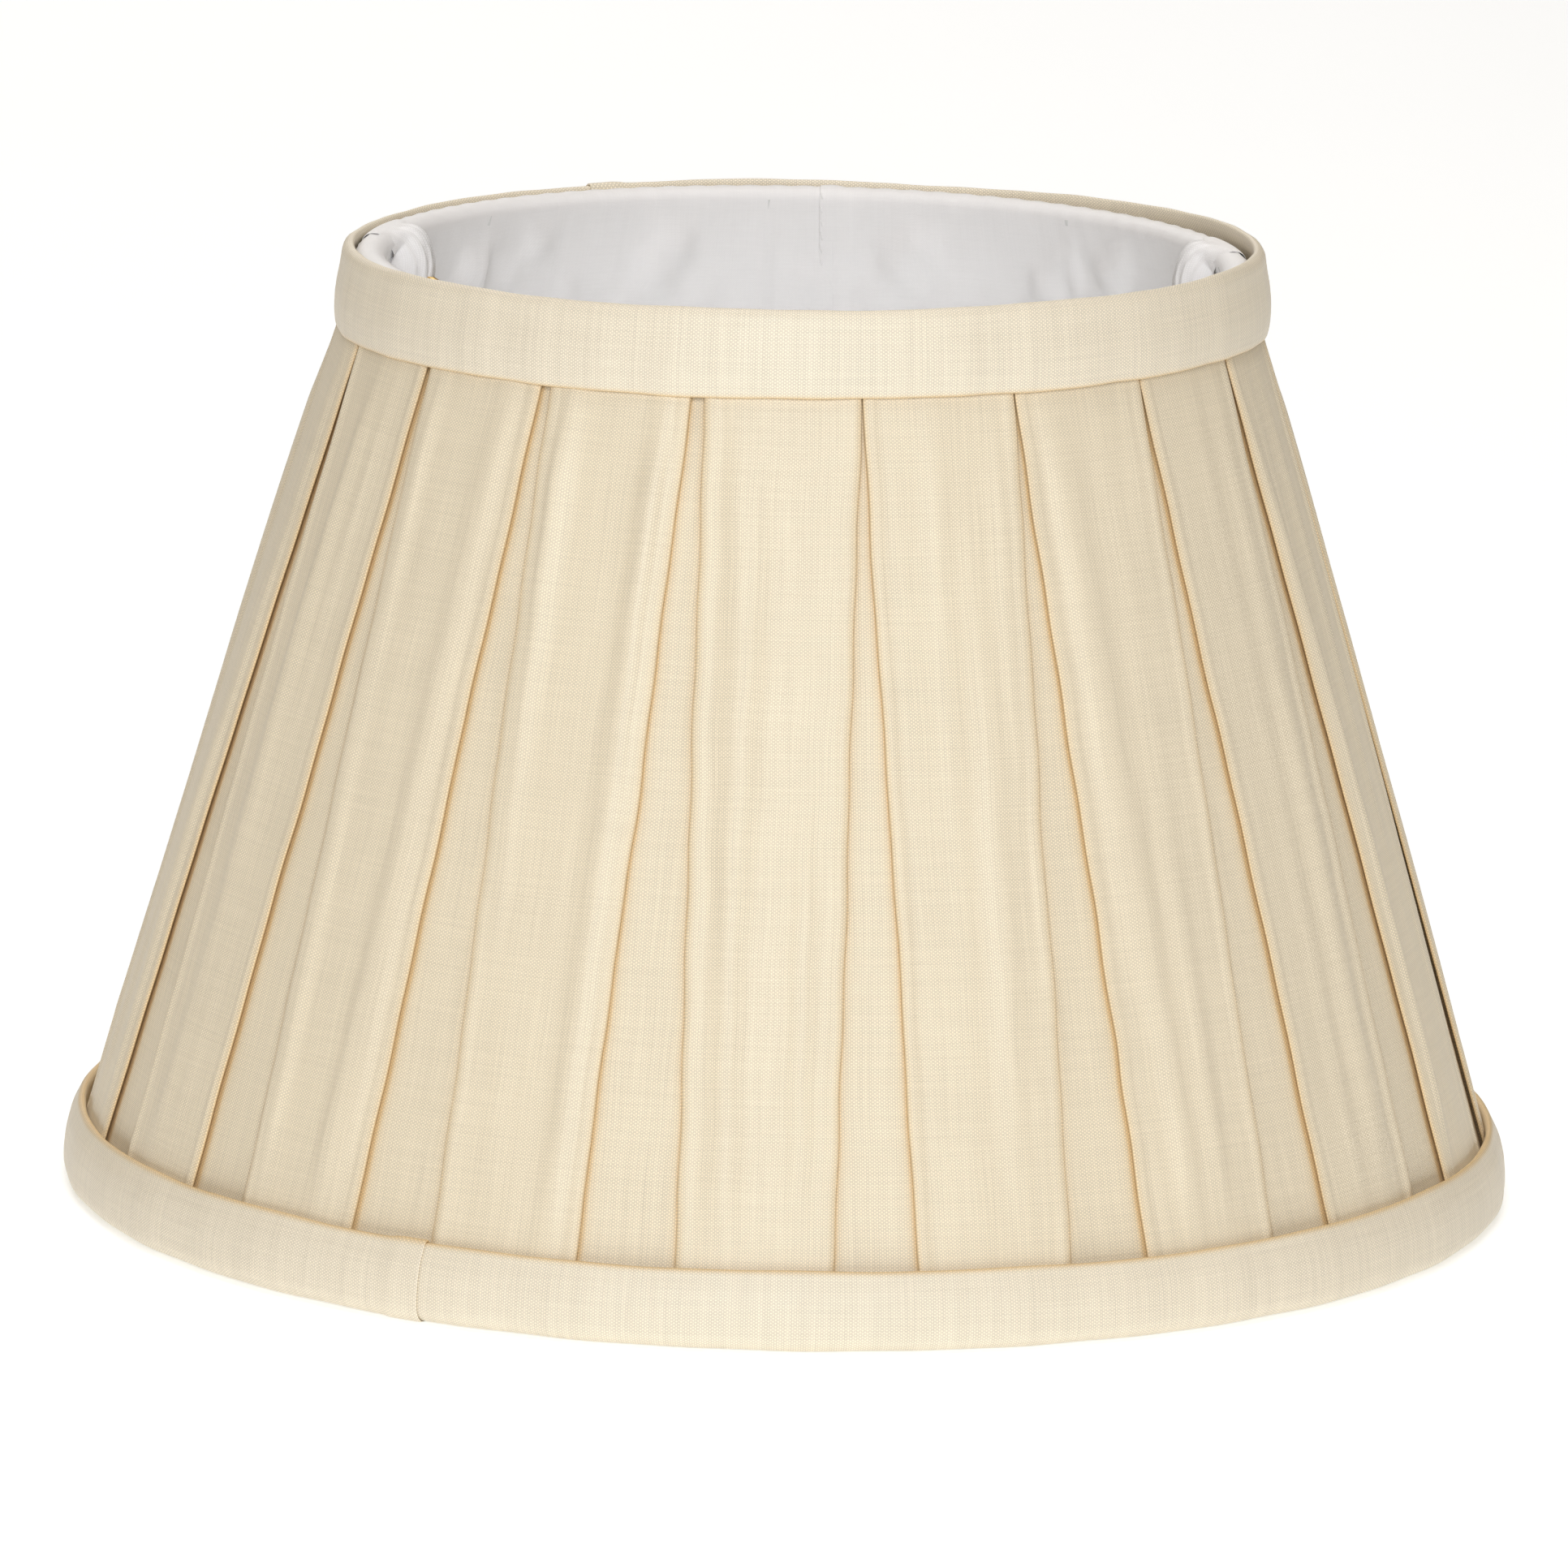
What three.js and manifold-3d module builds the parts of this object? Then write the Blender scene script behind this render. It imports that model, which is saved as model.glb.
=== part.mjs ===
// A box-pleated empire lamp shade: a wire frame with a recessed three-arm washer
// fitter, a two-panel balloon lining, a pleated fabric cover and a folded trim band
// at each rim. Millimetres, +Z up, origin at the centre of the bottom rim's plane.
// An azimuth is measured in degrees from the front (-Y) towards +X.
import * as THREE from 'three';
import { mergeVertices } from 'three/addons/utils/BufferGeometryUtils.js';
import Module from 'manifold-3d';

const wasm = await Module();
wasm.setup();

// ---- Overall sizes -------------------------------------------------------------
const BOTTOM_DIAMETER = 304.8;
const TOP_DIAMETER = 196.4;
const SHADE_HEIGHT = 200.4;

// ---- Wire frame ----------------------------------------------------------------
const RING_WIRE = 3.2;
const STRUT_WIRE = 2.2;
const STRUT_COUNT = 8;
const FIRST_STRUT_AZIMUTH = 5;
const TAPE_THICKNESS = 0.5;
const TAPE_SLIT = 100;

// ---- Washer fitter -------------------------------------------------------------
const ARM_WIRE = 2.5;
const SIDE_ARM_AZIMUTH = 104;
const FITTER_DROP = 25.4;
const WASHER_DIAMETER = 35;
const WASHER_HOLE = 11.1;
const WASHER_THICKNESS = 1.6;
const WASHER_CHAMFER = 0.3;
const ARM_START_SLOPE = 50;
const ARM_START_REACH = 14;
const ARM_END_REACH = 38;

// ---- Fabrics -------------------------------------------------------------------
const LINING_THICKNESS = 0.8;
const LINING_SEAM_AZIMUTH = 176;
const HEM_LENGTH = 3.4;
const TOP_HEM_SETBACK = 1.8;
const BOTTOM_HEM_SETBACK = 0.7;
const NEATENER_THICKNESS = 0.6;
const NEATENER_WIDTH = 18;
const NEATENER_LENGTH = 12;
const NEATENER_BULGE = 4.5;
const MIN_COVER_WALL = 0.9;
const PLEAT_DEPTH = 1.3;
const PLEAT_COUNT = 19;
const PLEAT_WIDTH = 32.2;
const MIN_PLEAT_OPENING = 1;
const FRONT_PLEAT_AZIMUTH = -2;

// ---- Trim bands ----------------------------------------------------------------
const BAND_THICKNESS = 1.4;
const TOP_BAND_HEIGHT = 17.5;
const TOP_RIM_SETBACK = 3.3;
const BOTTOM_BAND_HEIGHT = 16.7;
const BOTTOM_BAND_LEAN = 3.1;
const BOTTOM_BAND_STAND = 5.8;
const BAND_FOOT_WIDTH = 5;
const FOOT_ROUNDING = 2.6;

// ---- Clearances and fineness ---------------------------------------------------
const GAP = 0.3;
const ROUND_SEGMENTS = 60;
const ARC_STEPS = 3;
const COVER_LEVELS = 4;
const FAR = 400;

// ---- Derived places ------------------------------------------------------------
const ringR = RING_WIRE / 2;
const strutR = STRUT_WIRE / 2;
const armR = ARM_WIRE / 2;
const tapeR = ringR + GAP + TAPE_THICKNESS;
const rollR = tapeR + GAP + LINING_THICKNESS / 2;
const bottomBandR = BOTTOM_DIAMETER / 2;
const topBandR = TOP_DIAMETER / 2;
const topBandFoot = SHADE_HEIGHT - TOP_BAND_HEIGHT;

const coverTopR = topBandR - BAND_THICKNESS - 2 * GAP;
const coverBottomR = bottomBandR - BOTTOM_BAND_STAND;
const coverSlope = (coverBottomR - coverTopR) / (topBandFoot - BOTTOM_BAND_HEIGHT);
const coverR = (z) => coverTopR + coverSlope * (topBandFoot - z);
const lean = Math.atan(coverSlope);

const topRingZ = SHADE_HEIGHT - NEATENER_THICKNESS - GAP - LINING_THICKNESS / 2 - rollR;
const bottomRingZ = BAND_THICKNESS + GAP + LINING_THICKNESS / 2 + rollR;
const strutToRing = (ringR + GAP + strutR) / Math.cos(lean);
const underCover = (z) => coverR(z) - (MIN_COVER_WALL + PLEAT_DEPTH + GAP + strutR) / Math.cos(lean);
const underBand = BAND_THICKNESS + GAP + LINING_THICKNESS / 2 + rollR;

// Each ring sits as far out as both the hem under its band and the struts under the cover allow.
const topRingR = Math.min(topBandR - TOP_HEM_SETBACK - underBand, underCover(topRingZ) + strutToRing);
const bottomRingR = Math.min(
  bottomBandR - BOTTOM_HEM_SETBACK - underBand,
  underCover(bottomRingZ) + strutToRing,
);
const topStrutR = topRingR - strutToRing;
const bottomStrutR = bottomRingR - strutToRing;
const strutAxisR = (z) =>
  topStrutR + ((bottomStrutR - topStrutR) * (topRingZ - z)) / (topRingZ - bottomRingZ);
const liningOffset = (strutR + GAP + LINING_THICKNESS / 2) / Math.cos(lean);
const washerZ = SHADE_HEIGHT - FITTER_DROP;

// ---- Materials -----------------------------------------------------------------
const material = (color, roughness, metalness = 0) =>
  new THREE.MeshStandardMaterial({ color, roughness, metalness });
const COVER_FABRIC = material(0xecdfc6, 0.62);
const BAND_FABRIC = material(0xeee1c8, 0.62);
const LINING_FABRIC = material(0xe4e2e1, 0.5);
const COTTON_TAPE = material(0xefece4, 0.85);
const FRAME_WIRE = material(0xe8e8e6, 0.4, 0.3);
const FITTER_METAL = material(0xc9a24c, 0.32, 0.9);

// ---- Helpers -------------------------------------------------------------------
const radians = THREE.MathUtils.degToRad;

function place(azimuth, radius, z) {
  const a = radians(azimuth);
  return new THREE.Vector3(radius * Math.sin(a), -radius * Math.cos(a), z);
}

// Points of an arc in the (radius, height) plane, from one angle to another, in degrees.
function arc(r, z, across, up, from, to) {
  const points = [];
  for (let i = 0; i <= ARC_STEPS; i += 1) {
    const a = radians(from + ((to - from) * i) / ARC_STEPS);
    points.push(new THREE.Vector2(r + across * Math.cos(a), z + up * Math.sin(a)));
  }
  return points;
}

// The closed outline of a strip of cloth that follows a line in the (radius, height) plane.
// The line runs with the cloth's outer side on its right.
function stripOutline(line, thickness) {
  const right = [];
  const left = [];
  line.forEach((p, i) => {
    const before = line[Math.max(i - 1, 0)];
    const after = line[Math.min(i + 1, line.length - 1)];
    const along = after.clone().sub(before).normalize();
    const side = new THREE.Vector2(along.y, -along.x).multiplyScalar(thickness / 2);
    right.push(p.clone().add(side));
    left.push(p.clone().sub(side));
  });
  return [...right, ...left.reverse()];
}

// A full turn of a closed outline, given counter-clockwise in the (radius, height) plane.
function turned(outline, segments = ROUND_SEGMENTS) {
  return new THREE.LatheGeometry([...outline, outline[0]], segments).rotateX(Math.PI / 2);
}

function toSolid(geometry) {
  const bare = geometry.clone();
  bare.deleteAttribute('normal');
  bare.deleteAttribute('uv');
  const merged = mergeVertices(bare, 1e-4);
  return new wasm.Manifold(
    new wasm.Mesh({
      numProp: 3,
      vertProperties: Float32Array.from(merged.attributes.position.array),
      triVerts: Uint32Array.from(merged.index.array),
    }),
  );
}

function fromSolid(solid) {
  const mesh = solid.getMesh();
  const geometry = new THREE.BufferGeometry();
  geometry.setAttribute('position', new THREE.BufferAttribute(mesh.vertProperties, 3));
  geometry.setIndex(new THREE.BufferAttribute(mesh.triVerts, 1));
  geometry.computeVertexNormals();
  return geometry;
}

function addPart(name, geometry, finish) {
  const mesh = new THREE.Mesh(geometry, finish);
  mesh.name = name;
  shade.add(mesh);
  return mesh;
}

// ---- Wire frame ----------------------------------------------------------------
function ring(radius, z) {
  const wireSides = 8;
  return new THREE.TorusGeometry(radius, ringR, wireSides, ROUND_SEGMENTS).translate(0, 0, z);
}

// Cotton tape bound round a ring, open along the side where the struts and arms are welded.
function ringTape(radius, z) {
  const inward = 180 + THREE.MathUtils.radToDeg(lean);
  const from = inward + TAPE_SLIT / 2;
  const to = inward - TAPE_SLIT / 2 + 360;
  const middleR = ringR + GAP + TAPE_THICKNESS / 2;
  const line = [...arc(radius, z, middleR, middleR, from, (from + to) / 2)];
  line.push(...arc(radius, z, middleR, middleR, (from + to) / 2, to).slice(1));
  return turned(stripOutline(line, TAPE_THICKNESS));
}

function strut(azimuth) {
  const sides = 10;
  const foot = place(azimuth, bottomStrutR, bottomRingZ);
  const head = place(azimuth, topStrutR, topRingZ);
  const along = head.clone().sub(foot);
  const geometry = new THREE.CylinderGeometry(strutR, strutR, along.length(), sides);
  return { geometry, middle: foot.add(head).divideScalar(2), along: along.normalize() };
}

// ---- Washer fitter -------------------------------------------------------------
function washer() {
  const inner = WASHER_HOLE / 2;
  const outer = WASHER_DIAMETER / 2;
  const half = WASHER_THICKNESS / 2;
  const c = WASHER_CHAMFER;
  const outline = [
    new THREE.Vector2(inner, -half),
    new THREE.Vector2(outer - c, -half),
    new THREE.Vector2(outer, c - half),
    new THREE.Vector2(outer, half - c),
    new THREE.Vector2(outer - c, half),
    new THREE.Vector2(inner, half),
  ];
  const washerSegments = 40;
  return turned(outline, washerSegments).translate(0, 0, washerZ);
}

// A point on the line along which an arm leaves the ring, at a distance from the ring's centre.
function armStart(azimuth, distance) {
  const slope = radians(ARM_START_SLOPE);
  return place(azimuth, topRingR - distance * Math.cos(slope), topRingZ - distance * Math.sin(slope));
}

// An arm leaves the ring inward and down, then runs level into the washer's edge.
function armPath(azimuth) {
  const washerEdge = WASHER_DIAMETER / 2 + GAP;
  return new THREE.CubicBezierCurve3(
    armStart(azimuth, ringR + GAP),
    armStart(azimuth, ringR + GAP + ARM_START_REACH),
    place(azimuth, washerEdge + ARM_END_REACH, washerZ),
    place(azimuth, washerEdge, washerZ),
  );
}

function wireAlong(path, radius, steps = 14) {
  const section = new THREE.Shape().absarc(0, 0, radius, 0, 2 * Math.PI);
  return new THREE.ExtrudeGeometry(section, { steps, curveSegments: 4, extrudePath: path });
}

// The hole that an arm passes through in the cloth round it, from the ring's centre inwards.
function armHole(azimuth) {
  const behindWeld = new THREE.LineCurve3(armStart(azimuth, 0), armStart(azimuth, 2 * ringR));
  const along = toSolid(wireAlong(armPath(azimuth), armR + GAP));
  return along.add(toSolid(wireAlong(behindWeld, armR + GAP, 1)));
}

// ---- Lining --------------------------------------------------------------------
// The lining's middle line: up the outside of the bottom ring, under it, up inside the
// struts, over the top ring and down to its outer hem.
const topWallR = topStrutR - liningOffset;
const bottomWallR = bottomStrutR - liningOffset;

function liningLine() {
  const overTop = [
    ...arc(topRingR, topRingZ, topRingR - topWallR, rollR, 180, 90),
    ...arc(topRingR, topRingZ, rollR, rollR, 90, 0).slice(1),
  ];
  const underBottom = [
    ...arc(bottomRingR, bottomRingZ, rollR, rollR, 0, -90),
    ...arc(bottomRingR, bottomRingZ, bottomRingR - bottomWallR, rollR, -90, -180).slice(1),
  ];
  return [
    new THREE.Vector2(bottomRingR + rollR, bottomRingZ + HEM_LENGTH),
    ...underBottom,
    ...overTop,
    new THREE.Vector2(topRingR + rollR, topRingZ - HEM_LENGTH),
  ];
}

// A box that keeps one side of an upright plane through the axis.
function halfSpace(azimuth, clearance) {
  const box = new THREE.BoxGeometry(FAR, 2 * FAR, 2 * FAR);
  box.translate(FAR / 2 + clearance, 0, 0);
  return toSolid(box.rotateZ(radians(azimuth)));
}

// ---- Neateners -----------------------------------------------------------------
// A puffed strip of lining cloth that lies over the rolled rim, stands off the lining and
// comes back to it below, so that it hides the place where a fitter arm comes through.
function neatener(azimuth) {
  const stand = LINING_THICKNESS / 2 + GAP + NEATENER_THICKNESS / 2;
  const footZ = topRingZ - NEATENER_LENGTH;
  const across = topRingR - topWallR + stand + NEATENER_BULGE;
  const line = [
    new THREE.Vector2(strutAxisR(footZ) - liningOffset - stand / Math.cos(lean), footZ),
    new THREE.Vector2(topRingR - across, topRingZ - NEATENER_LENGTH / 3),
    ...arc(topRingR, topRingZ, across, rollR + stand, 180, 90),
  ];
  const strip = toSolid(turned(stripOutline(line, NEATENER_THICKNESS)));
  const slice = new THREE.BoxGeometry(NEATENER_WIDTH, FAR, 2 * FAR).translate(0, -FAR / 2, 0);
  return strip.intersect(toSolid(slice.rotateZ(radians(azimuth))));
}

// ---- Pleated cover -------------------------------------------------------------
// One ring of points round the cover: flat boxes, with recesses of the given depth between them.
function coverRing(z, radius, depth) {
  const pitch = 360 / PLEAT_COUNT;
  const toAngle = 180 / (Math.PI * coverR(z));
  const box = Math.min(PLEAT_WIDTH * toAngle, pitch - MIN_PLEAT_OPENING * toAngle);
  const wallStep = Math.min(PLEAT_DEPTH / 4, MIN_PLEAT_OPENING / 4) * toAngle;
  const points = [];
  for (let i = 0; i < PLEAT_COUNT; i += 1) {
    const middle = FRONT_PLEAT_AZIMUTH + i * pitch;
    for (const share of [-0.5, -0.17, 0.17, 0.5]) {
      points.push(place(middle + share * box, radius, z));
    }
    points.push(place(middle + box / 2 + wallStep, radius - depth, z));
    points.push(place(middle + pitch - box / 2 - wallStep, radius - depth, z));
  }
  return points;
}

// The cover's plain inner face rests on the struts, and its pleats are on the outside.
function pleatedCover() {
  const topZ = topRingZ - HEM_LENGTH - GAP;
  const bottomZ = bottomRingZ + HEM_LENGTH + GAP;
  const levelZ = (i) => bottomZ + ((topZ - bottomZ) * i) / COVER_LEVELS;
  const onStruts = (z) => strutAxisR(z) + (strutR + GAP) / Math.cos(lean);
  const rings = [];
  for (let i = 0; i <= COVER_LEVELS; i += 1) {
    rings.push(coverRing(levelZ(i), coverR(levelZ(i)), PLEAT_DEPTH));
  }
  for (let i = COVER_LEVELS; i >= 0; i -= COVER_LEVELS / 2) {
    rings.push(coverRing(levelZ(i), onStruts(levelZ(i)), 0));
  }
  const around = rings[0].length;
  const index = [];
  rings.forEach((_, level) => {
    const next = (level + 1) % rings.length;
    for (let i = 0; i < around; i += 1) {
      const j = (i + 1) % around;
      const [a, b] = [level * around + i, level * around + j];
      const [c, d] = [next * around + i, next * around + j];
      index.push(a, b, d, a, d, c);
    }
  });
  const geometry = new THREE.BufferGeometry().setFromPoints(rings.flat());
  geometry.setIndex(index);
  geometry.computeVertexNormals();
  return geometry;
}

// ---- Trim bands ----------------------------------------------------------------
function topBand() {
  const half = BAND_THICKNESS / 2;
  const r = topBandR - half;
  const top = SHADE_HEIGHT - half / 2;
  const line = [
    new THREE.Vector2(r - half / 3, topBandFoot),
    new THREE.Vector2(r, topBandFoot + TOP_BAND_HEIGHT * 0.2),
    new THREE.Vector2(r - TOP_RIM_SETBACK * 0.1, topBandFoot + TOP_BAND_HEIGHT * 0.5),
    new THREE.Vector2(r - TOP_RIM_SETBACK * 0.35, topBandFoot + TOP_BAND_HEIGHT * 0.75),
    new THREE.Vector2(r - TOP_RIM_SETBACK, top),
  ];
  const outline = stripOutline(line, BAND_THICKNESS);
  outline.forEach((p) => {
    p.y = Math.min(p.y, SHADE_HEIGHT);
  });
  return turned(outline);
}

// The bottom band bulges below its folded upper edge and turns under the bottom ring.
function bottomBand() {
  const half = BAND_THICKNESS / 2;
  const r = bottomBandR - half;
  const bend = FOOT_ROUNDING;
  const line = [
    new THREE.Vector2(r - bend - BAND_FOOT_WIDTH, half),
    new THREE.Vector2(r - bend - half, half),
    ...arc(r - bend, half + bend, bend, bend, -90, 0),
    new THREE.Vector2(r - BOTTOM_BAND_LEAN * 0.25, BOTTOM_BAND_HEIGHT * 0.55),
    new THREE.Vector2(r - BOTTOM_BAND_LEAN, BOTTOM_BAND_HEIGHT),
  ];
  return turned(stripOutline(line, BAND_THICKNESS));
}

// ---- Assembly ------------------------------------------------------------------
const shade = new THREE.Group();

addPart('top_ring', ring(topRingR, topRingZ), FRAME_WIRE);
addPart('bottom_ring', ring(bottomRingR, bottomRingZ), FRAME_WIRE);
addPart('bottom_ring_tape', ringTape(bottomRingR, bottomRingZ), COTTON_TAPE);
for (let i = 0; i < STRUT_COUNT; i += 1) {
  const { geometry, middle, along } = strut(FIRST_STRUT_AZIMUTH + (360 / STRUT_COUNT) * i);
  const rod = addPart(`strut_${i + 1}`, geometry, FRAME_WIRE);
  rod.position.copy(middle);
  rod.quaternion.setFromUnitVectors(new THREE.Vector3(0, 1, 0), along);
}

addPart('fitter_washer', washer(), FITTER_METAL);
const arms = { front: 0, right: SIDE_ARM_AZIMUTH, left: -SIDE_ARM_AZIMUTH };
const armHoles = {};
for (const [side, azimuth] of Object.entries(arms)) {
  addPart(`fitter_arm_${side}`, wireAlong(armPath(azimuth), armR), FITTER_METAL);
  armHoles[side] = armHole(azimuth);
  addPart(`neatener_${side}`, fromSolid(neatener(azimuth).subtract(armHoles[side])), LINING_FABRIC);
}
const allArmHoles = armHoles.front.add(armHoles.right).add(armHoles.left);

const topTape = toSolid(ringTape(topRingR, topRingZ)).subtract(allArmHoles);
addPart('top_ring_tape', fromSolid(topTape), COTTON_TAPE);

const lining = toSolid(turned(stripOutline(liningLine(), LINING_THICKNESS))).subtract(allArmHoles);
const seamPlane = LINING_SEAM_AZIMUTH - 180;
const rightHalf = lining.intersect(halfSpace(seamPlane, GAP / 2));
const leftHalf = lining.intersect(halfSpace(seamPlane + 180, GAP / 2));
addPart('lining_panel_right', fromSolid(rightHalf), LINING_FABRIC);
addPart('lining_panel_left', fromSolid(leftHalf), LINING_FABRIC);

addPart('pleated_cover', pleatedCover(), COVER_FABRIC);
addPart('top_band', topBand(), BAND_FABRIC);
addPart('bottom_band', bottomBand(), BAND_FABRIC);

export default shade;
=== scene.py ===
import math

import bmesh
import bpy
import numpy as np
from mathutils import Matrix, Vector

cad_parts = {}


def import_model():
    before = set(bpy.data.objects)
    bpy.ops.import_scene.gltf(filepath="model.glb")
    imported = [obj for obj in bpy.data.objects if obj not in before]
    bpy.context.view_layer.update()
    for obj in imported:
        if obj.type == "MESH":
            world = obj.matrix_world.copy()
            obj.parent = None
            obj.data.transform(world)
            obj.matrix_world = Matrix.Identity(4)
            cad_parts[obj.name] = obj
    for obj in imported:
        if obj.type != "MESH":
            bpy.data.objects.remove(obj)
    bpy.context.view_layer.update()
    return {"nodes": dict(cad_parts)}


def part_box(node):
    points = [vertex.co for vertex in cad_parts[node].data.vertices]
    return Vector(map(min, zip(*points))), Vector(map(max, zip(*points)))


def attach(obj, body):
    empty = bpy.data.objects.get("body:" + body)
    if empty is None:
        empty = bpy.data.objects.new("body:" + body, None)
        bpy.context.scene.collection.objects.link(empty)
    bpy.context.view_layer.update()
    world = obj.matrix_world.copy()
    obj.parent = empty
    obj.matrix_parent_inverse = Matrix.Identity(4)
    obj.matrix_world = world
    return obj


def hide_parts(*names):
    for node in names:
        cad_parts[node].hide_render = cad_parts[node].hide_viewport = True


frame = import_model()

MM = 0.001

# ---- Driving values --------------------------------------------------------------
PLEAT_COUNT = 19
PLEAT_WIDTH = 32.2
PLEAT_CLOTH = 84.2            # cloth that one box and the fold beside it take up
PLEAT_WIDTH_SPREAD = 0.5      # how much narrower a box is on average
FRONT_PLEAT_AZIMUTH = -2.0
PLEAT_DRIFT = -1.0            # how far the hand-set boxes are turned on average, degrees
PLEAT_SWING = 2.3             # and how far that wanders once round
FRONT_BOX_DRIFT = 0.8
BOX_DRIFT_SPREAD = 0.3
FOLD_RADIUS = 0.35
MIN_OPENING = 0.2
BOX_COLUMNS = 25
RIPPLE_LENGTHS = (7.5, 11, 17, 27)
RIPPLE_HEIGHT = 0.036         # a ripple's height as a share of its length
RIPPLE_SOFTNESS = 0.3
COVER_BOW = 0.5               # how far the cover swells halfway up
COVER_INSET_AT_TOP = 2.0      # from the top band's outer face down to the pleats
COVER_LEVELS = 90

BAND_FOLD_RADIUS = 0.6
PLUMP_FOLD_RADIUS = 0.95
BAND_POINT_SPACING = 0.55
BAND_COLUMN_SPACING = 1.6
TOP_BAND_SEAM = -154.0
TOP_BAND_WANDER = 0.10
TOP_BAND_TILT = 1.3           # the band is sewn on higher at the right than at the left
TOP_BAND_RISE = 0.6           # and higher at the front than at the back
RIM_DIP_AZIMUTH = 157.0       # the rim is lowest here
RIM_DIP_SPREAD = 17.0
BOTTOM_BAND_SEAM = -31.0
BOTTOM_BAND_WANDER = 0.16
BAND_LAP = 6.0
FLOOR_GAP = 0.02

LINING_SEAM = 176.0
LINING_LAP = 3.0
LINING_DRAGS = ((0.42, 11.0, 0.7), (-0.3, 17.0, 0.8), (0.25, 29.0, 1.2), (-0.5, 7.0, 0.3))
LINING_GAP = 0.65             # from a ring's wire to the middle of the cloth rolled over it
LINING_STAND = 2.5            # the lining's open wall is at least this far inside the cover
ROLL_INSET = 1.9              # how much further the rolls reach inwards than outwards
STRUT_COUNT = 8
FIRST_STRUT_AZIMUTH = 5.0
STRUT_RIDGE = 0.9             # how far a strut pushes the lining inwards
STITCH_PITCH = 3.2
STITCH_LENGTH = 1.7

NEATENER_AZIMUTHS = {"front": 0.0, "right": 104.0, "left": -104.0}
NEATENER_WIDTH = 20.0
NEATENER_RIDGES = 4
NEATENER_RIDGE_HEIGHT = 1.1
NEATENER_STAND = 0.2          # from the lining's roll to the strip over it
NEATENER_HOOD = 8.0           # how far its sides hang down past the fitter arm
ARM_SLOPE = 50.0
ARM_START_REACH = 14.0
ARM_END_REACH = 38.0
ARM_GAP = 0.3
WELD_SWELL = 0.48             # how much an arm's radius grows where it is welded to the washer
WASHER_HOLE_RADIUS = 5.55
WASHER_EDGE = 0.45

TAPE_WIDTH = 10.0
TAPE_PITCH = 7.0              # along the ring from one turn of the tape to the next
TAPE_STEPS_PER_TURN = 14

COVER_WEAVE = (0.447, 0.34)   # warp and weft pitch
BAND_WEAVE = (0.485, 0.326)
LINING_WEAVE = (0.22, 0.24)
TAPE_WEAVE = (0.5, 0.6)

COVER_COLOUR = (0.785, 0.692, 0.52)
BAND_COLOUR = (0.80, 0.72, 0.57)
# Painted light and shade: the golden glow of light coming through folded cloth, and the shade in the
# pleats' recesses
PAINTED_FOLD_LIGHT_COLOUR = (0.73, 0.53, 0.27)
LINING_COLOUR = (0.92, 0.905, 0.895)
TAPE_COLOUR = (0.76, 0.73, 0.66)
WIRE_COLOUR = (0.74, 0.74, 0.72)
BRASS_COLOUR = (0.74, 0.52, 0.22)
FLOOR_COLOUR = (0.93, 0.93, 0.93)
FLOOR_GLOW = (0.92, 0.97, 1)
FLOOR_GLOW_STRENGTH = 0.37
FLOOR_DROP = 0.05             # below the shade, so that their faces never coincide

CAMERA_AIM = (-1.8, 0, 85.0)
CAMERA_DISTANCE = 2.5417      # metres
CAMERA_ELEVATION = 11.56
CAMERA_ROLL = 1.2
CAMERA_LENS = 277.4

rng = np.random.default_rng(19)


# ---- Places taken from the frame ---------------------------------------------------
def outer_radius(node):
    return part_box(node)[1].x / MM


def low_z(node):
    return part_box(node)[0].z / MM


def high_z(node):
    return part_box(node)[1].z / MM


WIRE_RADIUS = (high_z("top_ring") - low_z("top_ring")) / 2


def ring_axis(node):
    """Radius and height of the middle of a ring's wire."""
    return outer_radius(node) - WIRE_RADIUS, (high_z(node) + low_z(node)) / 2


TOP_RING = ring_axis("top_ring")
BOTTOM_RING = ring_axis("bottom_ring")
RIM_Z = high_z("top_band")
TOP_BAND_FOOT = low_z("top_band")
TOP_BAND_RADIUS = outer_radius("top_band")
BOTTOM_BAND_RADIUS = outer_radius("bottom_band")
BOTTOM_BAND_HEAD = high_z("bottom_band")
COVER_LOW = low_z("pleated_cover")
COVER_HIGH = high_z("pleated_cover")
COVER_LOW_RADIUS = outer_radius("pleated_cover")
COVER_HIGH_RADIUS = TOP_BAND_RADIUS - COVER_INSET_AT_TOP
COVER_SLOPE = (COVER_LOW_RADIUS - COVER_HIGH_RADIUS) / (TOP_BAND_FOOT - COVER_LOW)
WASHER_RADIUS = outer_radius("fitter_washer")
WASHER_LOW = low_z("fitter_washer")
WASHER_HIGH = high_z("fitter_washer")
ARM_RADIUS = outer_radius("fitter_arm_front")
ROLL_RADIUS = WIRE_RADIUS + LINING_GAP


def cover_radius(z):
    return COVER_HIGH_RADIUS + COVER_SLOPE * (TOP_BAND_FOOT - z)


def cylinder_point(azimuth, radius, z):
    """Points for arrays of azimuth in degrees, radius and height."""
    a = np.radians(azimuth)
    return np.stack([radius * np.sin(a), -radius * np.cos(a), z + 0 * a], axis=-1)


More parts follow.
